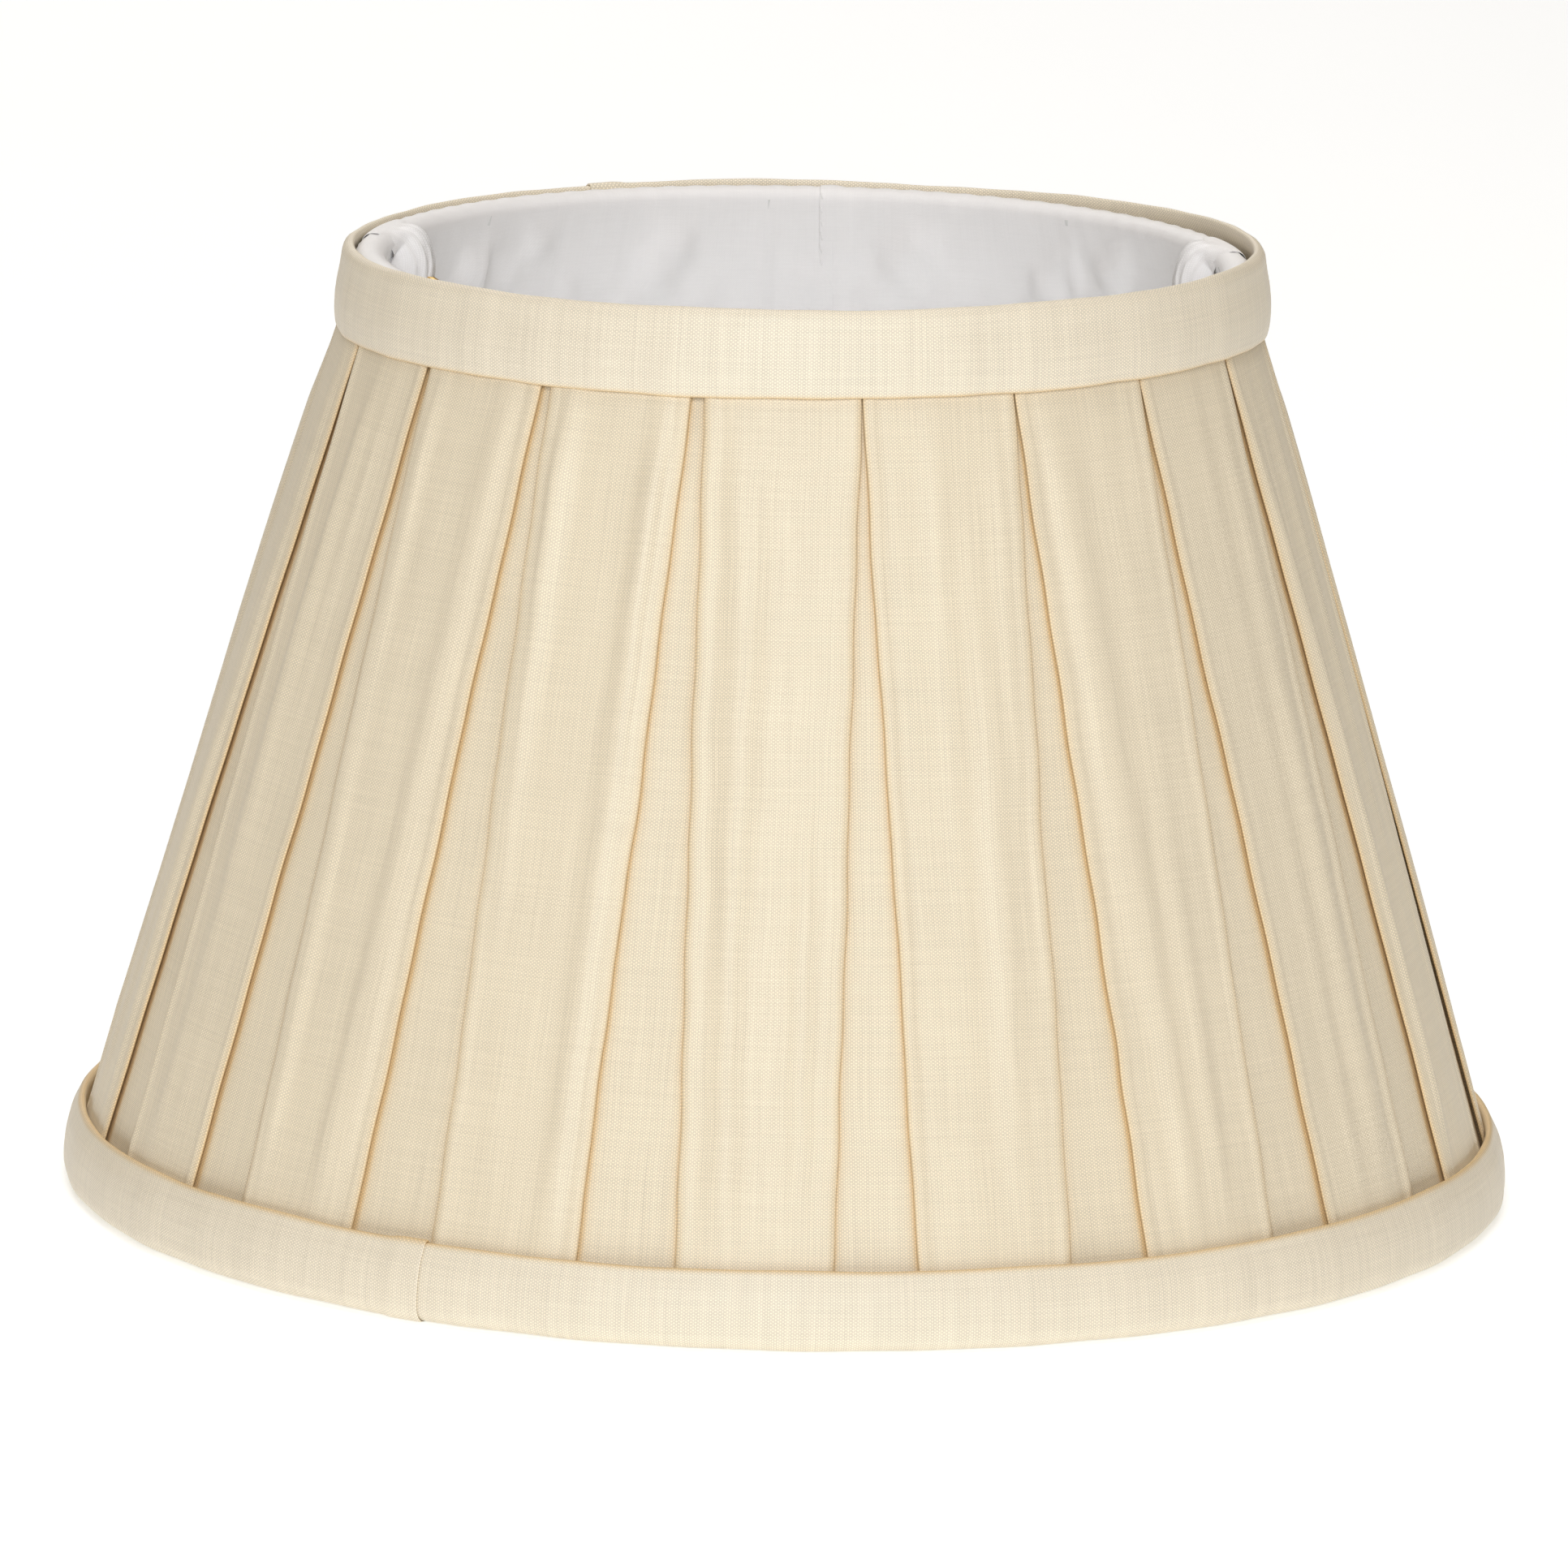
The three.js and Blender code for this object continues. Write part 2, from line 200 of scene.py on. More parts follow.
# ---- Mesh building -----------------------------------------------------------------
def grid_piece(name, points, threads, finish, around=False, painted_fold_light=None):
    """A smooth sheet through a grid of points. Its UVs are thread coordinates in metres.

    Rows run along the first axis and columns along the second; with around, the last
    column joins the first, and threads has one more column than points.
    """
    rows, cols = points.shape[:2]
    wide = cols if around else cols - 1
    i, j = np.meshgrid(np.arange(rows - 1), np.arange(wide), indexing="ij")
    right = (j + 1) % cols
    corner_points = [i * cols + j, i * cols + right, (i + 1) * cols + right, (i + 1) * cols + j]
    faces = np.stack(corner_points, axis=-1).reshape(-1, 4)
    mesh = bpy.data.meshes.new(name)
    mesh.from_pydata((points.reshape(-1, 3) * MM).tolist(), [], faces.tolist())
    corner_threads = [threads[i, j], threads[i, j + 1], threads[i + 1, j + 1], threads[i + 1, j]]
    layer = mesh.uv_layers.new(name="threads")
    layer.data.foreach_set("uv", (np.stack(corner_threads, axis=2) * MM).astype(np.float32).ravel())
    # A per-point share of painted fold light: golden glow and shade painted at the folds and recesses
    if painted_fold_light is not None:
        attribute = mesh.attributes.new("painted_fold_light", "FLOAT", "POINT")
        attribute.data.foreach_set("value", painted_fold_light.astype(np.float32).ravel())
    mesh.polygons.foreach_set("use_smooth", [True] * len(mesh.polygons))
    mesh.update()
    return add_object(name, mesh, finish)


def add_object(name, mesh, finish):
    mesh.materials.append(finish)
    piece = bpy.data.objects.new(name, mesh)
    bpy.context.scene.collection.objects.link(piece)
    return piece


def arc(centre, radius, start, end, steps):
    """Points of an arc in the (radius, height) plane. Angles in degrees; radius may be (across, up)."""
    across, up = radius if isinstance(radius, tuple) else (radius, radius)
    a = np.radians(np.linspace(start, end, steps + 1))
    return np.stack([centre[0] + across * np.cos(a), centre[1] + up * np.sin(a)], axis=-1)


def lengths(path):
    """How far along a path of points each point is."""
    steps = np.linalg.norm(np.diff(path, axis=0), axis=1)
    return np.concatenate([[0], np.cumsum(steps)])


def resample(path, spacing):
    """The same path with evenly spaced points."""
    path = np.asarray(path, float)
    s = lengths(path)
    count = max(2, int(round(s[-1] / spacing)) + 1)
    at = np.linspace(0, s[-1], count)
    return np.stack([np.interp(at, s, path[:, k]) for k in range(path.shape[1])], axis=-1)


def rounded(path, passes):
    """The path with its corners worn down, its ends kept."""
    path = path.copy()
    for _ in range(passes):
        path[1:-1] = (path[:-2] + 2 * path[1:-1] + path[2:]) / 4
    return path


def sides(path):
    """Unit vectors to the right of a path in the (radius, height) plane."""
    along = np.gradient(path, axis=0)
    along /= np.linalg.norm(along, axis=1)[:, None]
    return np.stack([along[:, 1], -along[:, 0]], axis=-1)


def waves(position, terms):
    """A sum of sines: terms are (height, wave length, phase)."""
    return sum(h * np.sin(2 * math.pi * position / w + p) for h, w, p in terms)


def hump(position, at, width):
    """1 at one place, falling smoothly to 0 on both sides."""
    return np.exp(-(((position - at) / width) ** 2))


def random_terms(count, height, shortest, longest):
    spans = np.geomspace(shortest, longest, count)
    return [(height * rng.uniform(0.5, 1), w, rng.uniform(0, 2 * math.pi)) for w in spans]


# ---- Materials ---------------------------------------------------------------------
def new_material(name):
    material = bpy.data.materials.new(name)
    material.use_nodes = True
    nodes = material.node_tree.nodes
    return material, nodes, material.node_tree.links, nodes["Principled BSDF"]


class Graph:
    """Short calls for the maths of one material's node tree."""

    def __init__(self, nodes, links):
        self.nodes = nodes
        self.links = links

    def feed(self, socket, value):
        if isinstance(value, bpy.types.NodeSocket):
            self.links.new(value, socket)
        else:
            socket.default_value = value

    def math(self, operation, a, b=0.0, clamp=False):
        node = self.nodes.new("ShaderNodeMath")
        node.operation = operation
        node.use_clamp = clamp
        self.feed(node.inputs[0], a)
        self.feed(node.inputs[1], b)
        return node.outputs[0]

    def mix(self, share, a, b):
        node = self.nodes.new("ShaderNodeMix")
        node.data_type = "RGBA"
        self.feed(node.inputs["Factor"], share)
        self.feed(node.inputs["A"], a if isinstance(a, bpy.types.NodeSocket) else (*a, 1))
        self.feed(node.inputs["B"], b if isinstance(b, bpy.types.NodeSocket) else (*b, 1))
        return node.outputs["Result"]

    def scale_colour(self, colour, factor):
        node = self.nodes.new("ShaderNodeVectorMath")
        node.operation = "SCALE"
        self.feed(node.inputs[0], colour)
        self.feed(node.inputs["Scale"], factor)
        return node.outputs[0]

    def noise(self, vector, scale, detail=2.0, roughness=0.5):
        node = self.nodes.new("ShaderNodeTexNoise")
        self.feed(node.inputs["Vector"], vector)
        node.inputs["Scale"].default_value = scale
        node.inputs["Detail"].default_value = detail
        node.inputs["Roughness"].default_value = roughness
        return node.outputs["Fac"]

    def stretched(self, vector, across, along):
        node = self.nodes.new("ShaderNodeMapping")
        self.feed(node.inputs["Vector"], vector)
        node.inputs["Scale"].default_value = (1000 / across, 1000 / along, 1)
        return node.outputs["Vector"]

    def bump(self, height, distance, strength, normal=None):
        node = self.nodes.new("ShaderNodeBump")
        node.inputs["Strength"].default_value = strength
        node.inputs["Distance"].default_value = distance * MM
        self.feed(node.inputs["Height"], height)
        if normal is not None:
            self.feed(node.inputs["Normal"], normal)
        return node.outputs["Normal"]


def cloth_material(name, colour, weave, roughness, sheen, contrast=1.0, painted_fold_lights=False):
    """Plain weave in thread coordinates, with uneven yarns, a little soiling, and a painted golden glow and
    painted shade at the folds.
    """
    material, nodes, links, shader = new_material(name)
    g = Graph(nodes, links)
    uv = nodes.new("ShaderNodeUVMap")
    uv.uv_map = "threads"
    split = nodes.new("ShaderNodeSeparateXYZ")
    links.new(uv.outputs["UV"], split.inputs[0])

    wander = g.math("SUBTRACT", g.noise(g.stretched(uv.outputs["UV"], 1.6, 6), 1.0, 1.0), 0.5)
    across = g.math("MULTIPLY", split.outputs["X"], math.pi * 1000 / weave[0])
    along = g.math("MULTIPLY", split.outputs["Y"], math.pi * 1000 / weave[1])
    warp = g.math("SINE", g.math("ADD", across, g.math("MULTIPLY", wander, 1.1)))
    weft = g.math("SINE", g.math("ADD", along, g.math("MULTIPLY", wander, 0.9)))
    over = g.math("MULTIPLY", warp, weft)
    crowns = g.math("ADD", g.math("ABSOLUTE", warp), g.math("ABSOLUTE", weft))
    height = g.math("ADD", g.math("MULTIPLY", over, 0.5), g.math("MULTIPLY", crowns, 0.5))

    warp_yarn = g.noise(g.stretched(uv.outputs["UV"], weave[0] * 1.3, 34), 1.0, 2.0, 0.6)
    weft_yarn = g.noise(g.stretched(uv.outputs["UV"], 26, weave[1] * 1.5), 1.0, 2.0, 0.6)
    blotch = g.noise(g.stretched(uv.outputs["UV"], 14, 22), 1.0, 3.0)

    tone = g.math("ADD", 1.0, g.math("MULTIPLY", g.math("SUBTRACT", height, 0.6), 0.40 * contrast))
    for value, middle, share in (
        (warp_yarn, 0.5, 0.24 * contrast),
        (weft_yarn, 0.5, 0.18 * contrast),
        (blotch, 0.5, 0.07),
    ):
        tone = g.math("ADD", tone, g.math("MULTIPLY", g.math("SUBTRACT", value, middle), share))
    base = colour
    # Painted light and shade: the fold share mixes in a golden colour for light through the folds and shade
    # in the recesses
    if painted_fold_lights:
        painted_fold_node = nodes.new("ShaderNodeAttribute")
        painted_fold_node.attribute_name = "painted_fold_light"
        base = g.mix(painted_fold_node.outputs["Fac"], colour, PAINTED_FOLD_LIGHT_COLOUR)
    links.new(g.scale_colour(base, tone), shader.inputs["Base Color"])

    uneven = g.math("MULTIPLY", g.math("SUBTRACT", height, 0.5), -0.12)
    links.new(g.math("ADD", roughness, uneven, clamp=True), shader.inputs["Roughness"])
    relief = g.math("ADD", height, g.math("MULTIPLY", warp_yarn, 0.7))
    relief = g.math("ADD", relief, g.math("MULTIPLY", weft_yarn, 0.7))
    links.new(g.bump(relief, 0.06, 0.5), shader.inputs["Normal"])
    shader.inputs["Sheen Weight"].default_value = sheen
    shader.inputs["Sheen Roughness"].default_value = 0.45
    shader.inputs["IOR"].default_value = 1.5
    return material


def wire_material(name, colour, metallic, roughness, speckle, grain):
    """Painted or plated wire with a faintly pitted, rubbed surface."""
    material, nodes, links, shader = new_material(name)
    g = Graph(nodes, links)
    place = nodes.new("ShaderNodeTexCoord").outputs["Object"]
    pits = g.noise(place, grain, 4.0, 0.6)
    rubbed = g.noise(place, grain / 9, 2.0)
    tone = g.math("ADD", 1 - speckle / 2, g.math("MULTIPLY", rubbed, speckle))
    base = nodes.new("ShaderNodeRGB")
    base.outputs[0].default_value = (*colour, 1)
    links.new(g.scale_colour(base.outputs[0], tone), shader.inputs["Base Color"])
    links.new(g.math("ADD", roughness - 0.1, g.math("MULTIPLY", pits, 0.2)), shader.inputs["Roughness"])
    links.new(g.bump(pits, 0.05, 0.4), shader.inputs["Normal"])
    shader.inputs["Metallic"].default_value = metallic
    return material


def floor_material():
    material, nodes, links, shader = new_material("pale_floor")
    g = Graph(nodes, links)
    place = nodes.new("ShaderNodeTexCoord").outputs["Object"]
    tone = g.math("ADD", 0.99, g.math("MULTIPLY", g.noise(place, 3.0), 0.02))
    base = nodes.new("ShaderNodeRGB")
    base.outputs[0].default_value = (*FLOOR_COLOUR, 1)
    links.new(g.scale_colour(base.outputs[0], tone), shader.inputs["Base Color"])
    shader.inputs["Roughness"].default_value = 0.9
    shader.inputs["Emission Color"].default_value = (*FLOOR_GLOW, 1)
    shader.inputs["Emission Strength"].default_value = FLOOR_GLOW_STRENGTH
    return material


COVER_CLOTH = cloth_material("cover_silk", COVER_COLOUR, COVER_WEAVE, 0.5, 0.04, painted_fold_lights=True)
BAND_CLOTH = cloth_material("band_silk", BAND_COLOUR, BAND_WEAVE, 0.5, 0.04, painted_fold_lights=True)
LINING_CLOTH = cloth_material("lining_satin", LINING_COLOUR, LINING_WEAVE, 0.45, 0.2, contrast=0.3)
TAPE_CLOTH = cloth_material("cotton_tape", TAPE_COLOUR, TAPE_WEAVE, 0.85, 0.1)
THREAD = wire_material("sewing_thread", LINING_COLOUR, 0.0, 0.6, 0.1, 900)
PAINTED_WIRE = wire_material("painted_wire", WIRE_COLOUR, 0.0, 0.42, 0.08, 260)
BRASS = wire_material("brushed_brass", BRASS_COLOUR, 1.0, 0.34, 0.12, 380)


def finish_piece(piece, slot, *nodes):
    """Every piece rides on the one body and stands for its CAD nodes, which it hides; the slot is not used.
    """
    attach(piece, "root")
    if nodes:
        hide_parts(*nodes)
    return piece


# ---- Pleated cover -----------------------------------------------------------------
def pleat_edges(z):
    """Left and right edges of each box along the circumference at each height, in millimetres."""
    radius = cover_radius(z)
    lefts, rights = [], []
    share = (z - COVER_LOW) / (COVER_HIGH - COVER_LOW)
    for k in range(PLEAT_COUNT):
        drift = PLEAT_DRIFT + PLEAT_SWING * math.sin(2 * math.pi * k / PLEAT_COUNT)
        drift += FRONT_BOX_DRIFT if k == 0 else rng.uniform(-BOX_DRIFT_SPREAD, BOX_DRIFT_SPREAD)
        half = (PLEAT_WIDTH - rng.uniform(0, 2 * PLEAT_WIDTH_SPREAD)) / 2
        middle = FRONT_PLEAT_AZIMUTH + k * 360 / PLEAT_COUNT + drift
        centre = np.radians(middle) * radius
        for side, edges in ((-1, lefts), (1, rights)):
            wander = waves(z, random_terms(3, 0.13, 22, 110))
            kink_at, kink_wide = rng.uniform(0.2, 0.8), rng.uniform(0.03, 0.07)
            kink = rng.normal(0, 0.35) * hump(share, kink_at, kink_wide)
            edges.append(centre + side * half + wander + kink)
    for k in range(PLEAT_COUNT):
        following = (k + 1) % PLEAT_COUNT
        turn = 2 * math.pi * radius if following == 0 else 0
        overlap = np.maximum(rights[k] + MIN_OPENING - (lefts[following] + turn), 0)
        rights[k] = rights[k] - overlap / 2
        lefts[following] = lefts[following] + overlap / 2
    return lefts, rights


def box_face(left, right, z):
    """The front of one box: rippled, with a slightly raised lip along both folds."""
    t = np.linspace(0, 1, BOX_COLUMNS)
    t = t - 0.08 * np.sin(2 * math.pi * t)
    x = left[:, None] + FOLD_RADIUS + t * (right - left - 2 * FOLD_RADIUS)[:, None]
    across = (t - 0.5) * PLEAT_WIDTH
    to_fold = (0.5 - np.abs(t - 0.5)) * PLEAT_WIDTH
    lip = 0.30 * hump(to_fold, 1.3, 0.8) - 0.10 * hump(to_fold, 2.9, 0.5)
    ripple = np.zeros_like(x)
    for wave in RIPPLE_LENGTHS:
        tilt = rng.uniform(-0.03, 0.03)
        fade = 1 + 0.5 * np.sin(2 * math.pi * z / rng.uniform(120, 260) + rng.uniform(0, 6.3))
        phase = rng.uniform(0, 2 * math.pi)
        height = RIPPLE_HEIGHT * wave * rng.uniform(0.5, 1.1)
        ripple += height * fade[:, None] * np.sin(2 * math.pi * (across + tilt * z[:, None]) / wave + phase)
    calm = np.clip(to_fold / 4, 0, 1)
    depth = -lip - raised(ripple * calm * band_calm(z)[:, None])
    # Painted light: a golden glow painted along both folds of the box, fading within about a millimetre
    painted_fold_light = np.broadcast_to(0.35 * np.exp(-to_fold / 0.7), x.shape)
    return x, depth, painted_fold_light, PLEAT_WIDTH * t


def raised(ripple):
    """The ripple with its hollows kept above the layer underneath."""
    return (ripple + np.sqrt(ripple**2 + RIPPLE_SOFTNESS**2) - RIPPLE_SOFTNESS) / 2


def band_calm(z):
    """1 over the open height of the cover, falling to a quarter where a trim band holds it down."""
    below = np.clip((z - BOTTOM_BAND_HEAD) / 14, 0, 1)
    above = np.clip((TOP_BAND_FOOT - z) / 18, 0, 1)
    return 0.25 + 0.75 * np.minimum(below, above)


def add_run(runs, x, depth, painted_fold_light):
    """Adds a run of columns to the outline of a pleat."""
    runs.append((x, depth + np.zeros_like(x), np.broadcast_to(painted_fold_light, x.shape)))


def recess(right, next_left, z):
    """From the right edge of one box, under it, across the recess and under the next box."""
    right, next_left = right[:, None], next_left[:, None]
    runs = []
    r = FOLD_RADIUS
    opening = next_left - right
    tuck = (PLEAT_CLOTH - PLEAT_WIDTH - opening) / 4
    quarter = np.linspace(0, 1, 6)[1:]
    turn = np.pi * quarter
    inner = np.linspace(0, 1, 4)[1:]
    panel = np.array([0, 0.5, 0.85, 1.0])

    # The last value of each run is painted light and shade: golden glow in the folds, and painted shade on
    # the layers under the boxes and at the recess edges
    add_run(runs, right - r + r * np.sin(turn), r - r * np.cos(turn), 0.35 + 0.65 * quarter)
    add_run(runs, right - r - inner * (tuck - r), 2 * r, 0.8)
    add_run(runs, right - tuck - r * np.sin(turn), 3 * r - r * np.cos(turn), 0.8)
    add_run(runs, right - tuck + panel[1:] * tuck, 4 * r, 0.9)

    t = np.linspace(0, 1, 12)[1:-1]
    t = t - 0.07 * np.sin(2 * math.pi * t)
    x = right + t * opening
    to_edge = np.minimum(x - right, next_left - x)
    sag = 0.25 * np.sin(np.pi * t) * np.clip(opening / 10, 0, 1)
    add_run(runs, x, 4 * r + sag, 0.7 * np.exp(-np.maximum(to_edge, 0) / 0.7))

    add_run(runs, next_left + (1 - panel[::-1]) * tuck, 4 * r, 0.9)
    add_run(runs, next_left + tuck + r * np.sin(turn), 3 * r + r * np.cos(turn), 0.8)
    add_run(runs, next_left + tuck - inner * (tuck - r), 2 * r, 0.8)
    turn, quarter = turn[:-1], quarter[:-1]
    add_run(runs, next_left + r - r * np.sin(turn), r + r * np.cos(turn), 1.0 - 0.65 * quarter)
    return [np.concatenate(columns, axis=1) for columns in zip(*runs)]


def pleated_cover():
    z = np.linspace(COVER_LOW - 1.0, COVER_HIGH + 0.5, COVER_LEVELS)
    lefts, rights = pleat_edges(z)
    radius = cover_radius(z)
    xs, depths, painted_fold_lights, cloth = [], [], [], []
    for k in range(PLEAT_COUNT):
        last = k == PLEAT_COUNT - 1
        next_left = lefts[0] + 2 * math.pi * radius if last else lefts[k + 1]
        x, depth, painted_fold_light, length = box_face(lefts[k], rights[k], z)
        xs.append(x)
        depths.append(depth)
        painted_fold_lights.append(painted_fold_light)
        cloth.append(np.broadcast_to(k * PLEAT_CLOTH + length, x.shape))
        x, depth, painted_fold_light = recess(rights[k], next_left, z)
        across = np.diff(x, axis=1, prepend=rights[k][:, None])
        run = np.cumsum(np.hypot(across, np.diff(depth, axis=1, prepend=0)), axis=1)
        run *= (PLEAT_CLOTH - PLEAT_WIDTH) / (run[:, -1:] + 0.1)
        xs.append(x)
        depths.append(depth)
        painted_fold_lights.append(painted_fold_light)
        cloth.append(k * PLEAT_CLOTH + PLEAT_WIDTH + run)
    x = np.concatenate(xs, axis=1)
    depth = np.concatenate(depths, axis=1)
    painted_fold_light = np.concatenate(painted_fold_lights, axis=1)
    azimuth = np.degrees(x / radius[:, None])
    tilt = math.atan(COVER_SLOPE)
    bow = COVER_BOW * np.sin(np.pi * (z - z[0]) / (z[-1] - z[0]))
    points = cylinder_point(azimuth, (radius + bow)[:, None] - depth * math.cos(tilt), z[:, None])
    points[..., 2] -= depth * math.sin(tilt)
    u = np.concatenate(cloth, axis=1)
    u = np.concatenate([u, np.full((len(z), 1), PLEAT_COUNT * PLEAT_CLOTH)], axis=1)
    slant = (z - z[0]) / math.cos(tilt)
    threads = np.stack([u, np.broadcast_to(slant[:, None], u.shape)], axis=-1)
    piece = grid_piece("cover_cloth", points, threads, COVER_CLOTH, around=True, painted_fold_light=painted_fold_light)
    finish_piece(piece, "cover_fabric", "pleated_cover")
    return piece


# ---- Trim bands --------------------------------------------------------------------
def band_columns(seam, radius):
    """Azimuths and lifts of a strip's columns, once round from its seam and over its own start.

    The end on top is turned under, so that the seam shows a fold.
    """
    to_angle = 180 / (math.pi * radius)
    full = 360 / to_angle
    once_round = np.linspace(0, full, int(full / BAND_COLUMN_SPACING))[:-3]
    over_start = np.array([-3, -1.5, 0, 1, 2, 3, 4, 4.8, 5.3, 5.6, BAND_LAP - 0.2])
    x = np.concatenate([once_round, full + over_start])
    lift = 0.55 / (1 + np.exp(-(x - full + 2.0) / 0.7))
    turned_under = BAND_LAP - np.array([0, 0, 0.4, 2.0, 4.5])
    x = np.concatenate([x, full + turned_under])
    lift = np.concatenate([lift, [0.38, 0.22, 0.16, 0.15, 0.15]])
    cloth = np.concatenate([[0], np.cumsum(np.hypot(np.diff(x), np.diff(lift)))])
    return seam + x * to_angle, lift, cloth


def band(name, node, outline, seam, wander, is_top):
    """A strip of cloth with this outline in the (radius, height) plane, taken round the shade."""
    line = rounded(resample(outline, BAND_POINT_SPACING), 2)
    right = sides(line)
    azimuth, lift, cloth = band_columns(seam, line[:, 0].max())
    s = lengths(line)
    a = np.radians(azimuth)
    puff = 0.10 * np.sin(a * 23 + 1.1) + 0.09 * np.sin(a * 41 + 0.4)
    out = lift + puff * np.sin(np.pi * s / s[-1])[:, None] ** 2
    drift = wander * (np.sin(a * 7 + 0.7) + 0.6 * np.sin(a * 17 + 2.0))
    radius = line[:, :1] + right[:, :1] * out
    z = line[:, 1:] + right[:, 1:] * out + drift * edge_share(line, is_top)[:, None]
    if is_top:
        z = z + top_band_shift(azimuth, line[:, 1:])
    z = np.maximum(z, FLOOR_GAP)
    points = cylinder_point(azimuth + 0 * radius, radius, z)
    threads = np.stack(np.broadcast_arrays(cloth[None, :], s[:, None]), axis=-1)
    painted_fold_light = np.broadcast_to(painted_band_fold_light(line, s, is_top)[:, None], z.shape)
    piece = grid_piece(name, points, threads, BAND_CLOTH, painted_fold_light=painted_fold_light)
    finish_piece(piece, "band_fabric", node)
    return piece


def painted_band_fold_light(line, s, is_top):
    """Painted light and shade: a golden glow painted where the cloth turns under at the pleats' side, and
    painted shade on the turned-under cloth.
    """
    z = line[:, 1]
    at = s[z.argmin()] if is_top else s[z.argmax()]
    hidden = s < at if is_top else s > at
    return 0.9 * hump(s, at, 0.7) + 0.5 * hidden


def edge_share(line, is_top):
    """1 at the folded edge that lies over the pleats and 0 at the rim, so that only that edge wanders."""
    z = line[:, 1]
    share = (z - z.min()) / (z.max() - z.min())
    return 1 - share if is_top else share


def top_band_shift(azimuth, z):
    """How far each point of the top band is raised by its tilt and lowered by its uneven rim."""
    a = np.radians(azimuth)
    tilt = TOP_BAND_TILT * np.sin(a) + TOP_BAND_RISE * np.cos(a)
    near_rim = np.clip(z - RIM_Z + 9, 0, 7) / 7
    return tilt - rim_drop(azimuth) * near_rim


def rim_drop(azimuth):
    """How far the top band's rim is lowered, most at the back right; at the front it is raised."""
    a = np.radians(azimuth)
    from_dip = (azimuth - RIM_DIP_AZIMUTH + 180) % 360 - 180
    return -0.1 + 0.75 * hump(from_dip, 0, RIM_DIP_SPREAD) - 0.5 * np.cos(a) + 0.12 * np.sin(a * 9)


def top_band():
    r = TOP_BAND_RADIUS - 0.5
    foot, rim, fold = TOP_BAND_FOOT, RIM_Z, BAND_FOLD_RADIUS
    outline = np.concatenate([
        [[r - 1.45, foot + 9.5], [r - 1.4, foot + 5]],
        arc((r - 0.25 - fold, foot + fold), fold, 180, 360, 8),
        [[r, foot + 3.5], [r - 0.05, foot + 6.5], [r - 0.4, foot + 9.5], [r - 1.1, foot + 13.0]],
        arc((r - 3.5, rim - 2.4), (2.1, 2.4), 15, 90, 8),
        arc((r - 3.7, rim - 0.5), 0.5, 90, 200, 6),
        [[r - 2.9, rim - 4.5], [r - 2.0, foot + 10.5]],
    ])
    return band("top_band_cloth", "top_band", outline, TOP_BAND_SEAM, TOP_BAND_WANDER, True)


def bottom_band():
    r = BOTTOM_BAND_RADIUS
    head, fold = BOTTOM_BAND_HEAD - 0.6, PLUMP_FOLD_RADIUS
    outline = np.concatenate([
        [[r - 3.2, 1.4]],
        arc((r - 7.8, 0.7), 0.7, 90, 270, 8),
        arc((r - 3.6, 3.6), (3.6, 3.6), -90, 0, 12),
        [[r - 0.05, 5.8], [r - 0.4, 9.0], [r - 1.2, 12.2]],
        arc((r - 2.8 - fold, head - fold), fold, 0, 180, 8),
        [[r - 4.2, head - 5], [r - 3.6, head - 9]],
    ])
    return band("bottom_band_cloth", "bottom_band", outline, BOTTOM_BAND_SEAM, BOTTOM_BAND_WANDER, False)


# ---- Lining ------------------------------------------------------------------------
def lining_outline():
    """From the hem under the top band, over the top roll, down the wall and round the bottom ring."""
    top_r, top_z = TOP_RING
    bottom_r, bottom_z = BOTTOM_RING
    roll = ROLL_RADIUS
    inset = ROLL_INSET
    return np.concatenate([
        [[top_r + roll - 0.4, top_z - 5.0]],
        arc((top_r, top_z), roll, 0, 90, 9),
        arc((top_r, top_z), (roll + inset, roll), 90, 180, 9)[1:],
        arc((bottom_r, bottom_z), (roll + inset, roll), 180, 270, 9),
        arc((bottom_r, bottom_z), roll, 270, 360, 9)[1:],
        [[bottom_r + roll - 0.2, bottom_z + 5.0]],
    ])


def wall_weight(line):
    """1 on the open wall of the lining, falling to 0 at the rolls."""
    z = line[:, 1]
    low, high = BOTTOM_RING[1] + 4, TOP_RING[1] - 2
    inner = line[:, 0] < cover_radius(z) - LINING_STAND
    return np.clip((z - low) / 12, 0, 1) * np.clip((high - z) / 8, 0, 1) * inner


def lining_drag(a, z):
    """Slanting folds where the cloth is pulled tight between the rings."""
    drag = np.zeros(np.broadcast_shapes(a.shape, z.shape))
    for tilt, pitch, height in LINING_DRAGS:
        phase = rng.uniform(0, 6.3)
        drag += height * np.sin(2 * np.pi * (a + tilt * z) / pitch + phase)
    return drag + 0.10 * np.sin(2 * np.pi * (a * 1.3 + 0.9 * z) / 31 + 1.0)


def strut_ridge(a, radius):
    """The ridge that a strut behind the lining makes in it."""
    step = 360 / STRUT_COUNT
    from_strut = np.abs((a - FIRST_STRUT_AZIMUTH + step / 2) % step - step / 2)
    return STRUT_RIDGE * hump(from_strut * np.radians(1) * radius, 0, 1.3)


